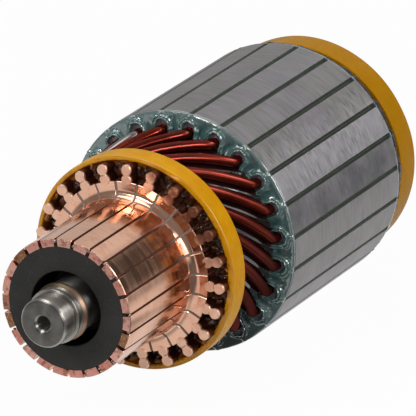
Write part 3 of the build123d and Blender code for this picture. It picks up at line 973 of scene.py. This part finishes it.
# Sawing flash
# Crumbs of pale metal that the saw left between the bars' front ends.
crumb_tree, given, out = node_group("GeometryNodeTree", "crumbs", {
    "Geometry": "Geometry", "Smallest": 0.0001, "Largest": 0.0003, "Flatness": 0.5, "Unevenness": 0.0001,
    "Fineness": 2000.0, "Seed": 1, "Material": "Material"}, {"Geometry": "Geometry"})
size = joined("FunctionNodeRandomValue", {
    2: given["Smallest"], 3: given["Largest"], "Seed": given["Seed"]}, data_type="FLOAT")[1]
any_turn = joined("FunctionNodeRandomValue", {
    0: (0.0, 0.0, 0.0), 1: (6.28, 6.28, 6.28), "Seed": given["Seed"]}, data_type="FLOAT_VECTOR")[0]
lumps = joined("GeometryNodeInstanceOnPoints", {
    "Points": joined("GeometryNodeMeshToPoints", {0: given["Geometry"]})[0],
    "Instance": put(crumb_tree, "GeometryNodeMeshIcoSphere", {"Radius": 1.0, "Subdivisions": 3})[0],
    "Rotation": joined("FunctionNodeEulerToRotation", {0: any_turn})[0],
    "Scale": point(size, times(size, given["Flatness"]), size)})[0]
real = joined("GeometryNodeRealizeInstances", {0: lumps})[0]
moved = wandering(real, times(given["Unevenness"], 2.0), {
    "Scale": given["Fineness"], "Detail": 2.0}, "3D")
ended(out, moved, given["Material"])


def crumbs_at(name, spots, finish, smallest, largest, flatness, unevenness, fineness, seed):
    """Crumbs grown on these points, as one smooth piece, with their sizes in millimetres."""
    piece = grown(mesh_piece(name, spots), crumb_tree, {
        "Smallest": smallest * MM, "Largest": largest * MM, "Flatness": flatness,
        "Unevenness": unevenness * MM, "Fineness": fineness, "Seed": seed, "Material": finish.material})
    return smoothed(piece, 60)


flash_metal = clouded("sawing flash", 0.4, 2.0, (150, 132, 122), (222, 210, 200), (0.25, 0.45), Metallic=1.0)
chance_seed = 12
rng = np.random.default_rng(chance_seed)


def between_bars(counts, radii, places, aside):
    """Chance points in the gap beside each bar. The ranges end before their last number."""
    spots = []
    for k in range(SLOTS):
        middle = BAR_ANGLE + (k + 0.5) * PITCH
        for _ in range(rng.integers(*counts)):
            radius, place = rng.uniform(*radii), rng.uniform(*places)
            spots.append(around(radius, place, middle + rng.uniform(-aside, aside)))
    return spots


flash = crumbs_at("sawing_flash", between_bars((0, 3), (15.5, 16.6), (8.3, 8.9), 0.012), flash_metal,
                  smallest=0.18, largest=0.42, flatness=0.6, unevenness=0.12, fineness=3000.0, seed=3)
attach(flash, "root")

# Bands
# Glass fibre wound in amber resin round the wires behind the risers, and round the end turns at the
# drive end. The resin is smooth and glossy, with rounded, slightly uneven edges.
sagged_below, sag = 25.7, 0.5


def hand_wound(radius, place, angle):
    """The small unevenness of a band wound and cured by hand: the front one's resin sagged to one side."""
    spot = Vector((math.cos(angle), math.sin(angle), place * 0.05))
    if radius < sagged_below:
        radius -= sag * max(0.0, math.cos(angle))
    return radius + 0.07 * noise.noise(spot * 3.0), place + 0.12 * noise.noise(spot * 2.1 + Vector((5, 5, 5)))


amber = Finish("amber resin")
fibre = joined("ShaderNodeMapping", {"Vector": amber.place, "Scale": (0.4, 5.0, 0.4)})[0]
strands = amber.patches(1.2, 1.6, fibre)
cloud, ripple, grain = (amber.patches(*sizes) for sizes in ((4.0, 1.5), (1.6, 1.0), (0.45, 1.0)))
along = axes(amber.place)[1]
amber.surface({
    "Base Color": layered(
        (196, 132, 0), (cloud["Tone"], (218, 160, 12)), (strands["Tone"], 0.3, 0.8, 0.35, (170, 104, 0)),
        (along, 60.0, 100.0, 0.75, (154, 106, 0))),
    "Coat Weight": spread(along, 40.3, 41.0, 0.9, 0.04), "Coat Roughness": 0.07,
    "Roughness": varied(ripple["Tone"], 0.26, 0.42), "Specular IOR Level": 0.04,
    "Subsurface Weight": 0.4, "Subsurface Radius": (0.002, 0.001, 0.0003)})
grained = times(spread(along, 41.0, 40.4), grain["Height"])
amber.raised(times_plus(grained, 0.22, ripple["Height"]), 0.06)

for name, inner, outer, start, end in (("front_band", 25.18, 26.33, 40.15, 45.85),
                                       ("rear_band", 26.82, 27.97, 122.05, 129.45)):
    corners = [(radius, place, 0.38) for radius, place in (
        (inner, start), (inner, end), (outer, end), (outer, start))]
    band = turned_piece(name, corners, amber, sides=256, arc_steps=5, sharp_from=60, shift=hand_wound)
    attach(band, "root")
    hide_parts(name)

# Resin between the wire ends
# The band's resin also ran in between the wire ends behind the risers, and set there in a dark, glossy,
# lumpy web that goes from brown to amber at the band; the amber is partly the resin's own colour and partly a
# painted glow of light through the band.
web_inner, web_outer, web_rows, sides_a_bar = 20.9, 25.3, 15, 20
web_front, web_back, climbs_from = 41.5, 45.2, 24.3
web_sides = SLOTS * sides_a_bar

resin = Finish("brown resin")
cloud = resin.patches(1.3, 2.4)
# Near the band the resin turns amber: partly the band's own resin, partly a painted glow of light through the
# band.
amber_glow_near_band = times_plus(cloud["Tone"], 1.2, from_axis(resin.place))
resin.surface({
    "Base Color": layered(
        (26, 14, 8), (cloud["Tone"], (92, 50, 18)), (amber_glow_near_band, 24.3, 25.4, 1.0, (156, 90, 14))),
    "Roughness": varied(cloud["Tone"], 0.2, 0.38), "Coat Weight": 0.2, "Coat Roughness": 0.05})

points = []
for side in range(web_sides):
    angle = BAR_ANGLE + 2 * math.pi * side / web_sides
    beside = abs((side / sides_a_bar + 0.5) % 1 - 0.5) * 2
    radii = [part_way(web_inner, web_outer, row / (web_rows - 1)) for row in range(web_rows)]
    for radius in radii:
        spot = Vector(around(radius, 0.0, angle))
        lumps = 0.9 * noise.noise(spot * 0.8) + 0.4 * noise.noise(spot * 2.0)
        meniscus = 0.7 * max(0.0, 0.55 - beside) + 1.1 * max(0.0, radius - climbs_from) ** 2
        points.append(around(radius, web_front - lumps - meniscus, angle))
    for radius in radii[::-1]:
        back = web_back + 0.5 * noise.noise(Vector(around(radius, 9.0, angle)) * 0.9)
        points.append(around(radius, back, angle))
web = shell_piece("resin_between_wires", points, grid(0, web_sides, 2 * web_rows, looped=True), resin)
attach(web, "root")

runs = crumbs_at("resin_runs", between_bars((1, 3), (21.8, 24.9), (40.4, 41.6), 0.08), resin,
                 smallest=0.6, largest=1.2, flatness=0.6, unevenness=0.25, fineness=450.0, seed=5)
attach(runs, "root")

# Rear edge varnish
# A thin uneven bead of the dark varnish between the core's rear edge and the rear band, thickest where
# each groove ends.
bead_corners = [(28.6, 117.1, 0), (28.6, 118.6, 0.1), (29.4, 118.7, 0.2), (29.86, 117.25, 0.15)]


def uneven_bead(radius, place, angle):
    spot = Vector((math.cos(angle) * 9, math.sin(angle) * 9, place * 0.4))
    swell = 0.22 * noise.noise(spot * 0.9) + 0.16 * noise.noise(spot * 2.7)
    past_groove = (angle - TOP_SLOT) / PITCH
    swell += 0.2 * max(0.0, 1 - abs(past_groove - round(past_groove)) * 9)
    return radius + (swell if radius > 29 else 0.0), place + (2.5 * swell if place > 117.5 else 0.0)


edge_varnish = clouded("brown edge varnish", 1.2, 2.0, (16, 9, 7), (48, 26, 19), (0.2, 0.4),
                       Specular_IOR_Level=0.15)
bead = turned_piece("rear_edge_varnish", bead_corners, edge_varnish, sides=460, sharp_from=60,
                    shift=uneven_bead)
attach(bead, "root")

# Epoxy drips
# Small drops of the core's green epoxy that hang from the lips' inner ends, beside the wires.
spots = []
for slot in range(SLOTS):
    for side in (-1, 1):
        for _ in range(rng.integers(1, 4)):
            out_by, aside = rng.uniform(22.6, 26.4), side * rng.uniform(1.9, 2.45)
            spots.append(sector_point(out_by, aside, TOP_SLOT + slot * PITCH,
                                      core_front - rng.uniform(0.05, 0.5)))
drips = crumbs_at("epoxy_drips", spots, epoxy, smallest=0.25, largest=0.7, flatness=0.8, unevenness=0.2,
                  fineness=700.0, seed=8)
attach(drips, "root")

# Studio
# A pale floor under the core and four soft lights. Metal mirrors a grey surround, dark above and behind
# the part and bright low on its right, and a floor that dims away from the part, beside the wires and
# below the commutator's face. The camera stands where the photograph's did.
floor_side, floor_level = 3000.0, -30.2
floor = mesh_piece("floor", [(x * floor_side, y * floor_side, floor_level) for x, y in (
    (-1, -1), (1, -1), (1, 1), (-1, 1))], faces=[(0, 1, 2, 3)])


def mirrored_rays(on):
    """The kinds of ray, and a mask of those that come by way of a mirror or a lens."""
    rays = put(on, "ShaderNodeLightPath")
    return rays, maths("MAXIMUM", rays["Is Glossy Ray"], rays["Is Transmission Ray"])


def mixed_shaders(share, first, second):
    return joined("ShaderNodeMixShader", {0: share, 1: first, 2: second})[0]


pale_floor = bpy.data.materials.new("pale floor")
pale_floor.use_nodes = True
on = pale_floor.node_tree
on.nodes.remove(on.nodes["Principled BSDF"])
rays, mirrored = mirrored_rays(on)
seen = maths("MAXIMUM", times(rays["Is Camera Ray"], 0.97), times(mirrored, 0.9))
spot = put(on, "ShaderNodeTexCoord")["Object"]
sideways, along, _ = axes(spot)
looks_along = axes(put(on, "ShaderNodeNewGeometry")["Incoming"])[1]
beside_wires = times(spread(sideways, 0.03, 0.055), spread(along, 0.082, 0.064))
under_face = times(spread(looks_along, 0.0, 0.5), spread(along, 0.012, 0.04))
level = spread(vector("LENGTH", {0: spot}, "Value"), 0.12, 0.5, 0.84, 0.36)
for region, darker in ((beside_wires, -0.85), (under_face, -0.9)):
    level = times(level, times_plus(region, darker, 1.0))
strength = times_plus(mirrored, maths("SUBTRACT", level, 1.0), 1.0)
matt = put(on, "ShaderNodeBsdfDiffuse", {"Color": (0.5, 0.5, 0.5, 1)})[0]
lit = joined("ShaderNodeEmission", {"Color": (1, 1, 1, 1), "Strength": strength})[0]
feed(on.nodes["Material Output"], {"Surface": mixed_shaders(seen, matt, lit)})
floor.data.materials.append(pale_floor)

world = bpy.data.worlds.new("studio surround")
bpy.context.scene.world = world
world.use_nodes = True
on = world.node_tree
on.nodes.remove(on.nodes["Background"])
rays, mirrored = mirrored_rays(on)
sky = put(on, "ShaderNodeTexCoord")["Generated"]
sideways, behind, overhead = axes(sky)
darker_side = Vector((0.471, 0.818, 0.330)).normalized()
towards_dark = vector("DOT_PRODUCT", {0: sky, 1: darker_side}, "Value")
beside = times(spread(sideways, 0.68, 0.78), spread(overhead, 0.04, 0.18))
reflected = layered(
    (0.58, 0.58, 0.58, 1), (sideways, -0.55, 0.3, 1.0, (0.8, 0.8, 0.8, 1)),
    (behind, 0.5, -0.1, 1.0, (0.24, 0.24, 0.24, 1)), (towards_dark, 0.915, 0.975, 1.0, (0.06, 0.055, 0.05, 1)),
    (beside, (1.7, 1.7, 1.7, 1)))
plain, mirror, white = (put(on, "ShaderNodeBackground", {"Color": colour})[0] for colour in (
    (0.55, 0.55, 0.56, 1), reflected, (1, 1, 1, 1)))
surround = mixed_shaders(rays["Is Camera Ray"], mixed_shaders(mirrored, plain, mirror), white)
feed(on.nodes["World Output"], {"Surface": surround})

for name, position, aim, size, power in (
        ("top light", (-0.25, -0.25, 0.75), (0, 0.06, 0), 0.5, 2.0),
        ("front light", (-0.27, -0.70, 0.43), (0, 0.06, 0), 0.16, 1.5),
        ("side light", (0.75, -0.24, 0.38), (0, 0.06, 0), 0.2, 1.5),
        ("back light", (0.66, 0.38, 0.55), (0, 0.09, 0), 0.3, 1.6)):
    lamp = bpy.data.lights.new(name, "AREA")
    lamp.size, lamp.energy = size, power
    holder = bpy.data.objects.new(name, lamp)
    bpy.context.collection.objects.link(holder)
    holder.location = position
    holder.rotation_euler = (Vector(aim) - Vector(position)).to_track_quat("-Z", "Y").to_euler()

azimuth, elevation = math.radians(28.64), math.radians(21.2)
focal_pixels, picture_pixels = 6121, 416
right = Vector((math.cos(azimuth), math.sin(azimuth), 0))
forward = Vector((-math.sin(azimuth) * math.cos(elevation), math.cos(azimuth) * math.cos(elevation),
                  -math.sin(elevation)))
up = right.cross(forward)
camera = bpy.data.objects.new("camera", bpy.data.cameras.new("camera"))
bpy.context.collection.objects.link(camera)
camera.data.lens = camera.data.sensor_width * focal_pixels / picture_pixels
camera.data.clip_start, camera.data.clip_end = 0.05, 20.0
aside, above, away = 6.13, 5.55, 1442.6
stand = Vector((0, core_front, 0)) + aside * right + above * up - away * forward
camera.matrix_world = Matrix.Translation(stand * MM) @ Matrix((right, up, -forward)).transposed().to_4x4()
bpy.context.scene.camera = camera
bpy.context.scene.view_settings.view_transform = "Standard"
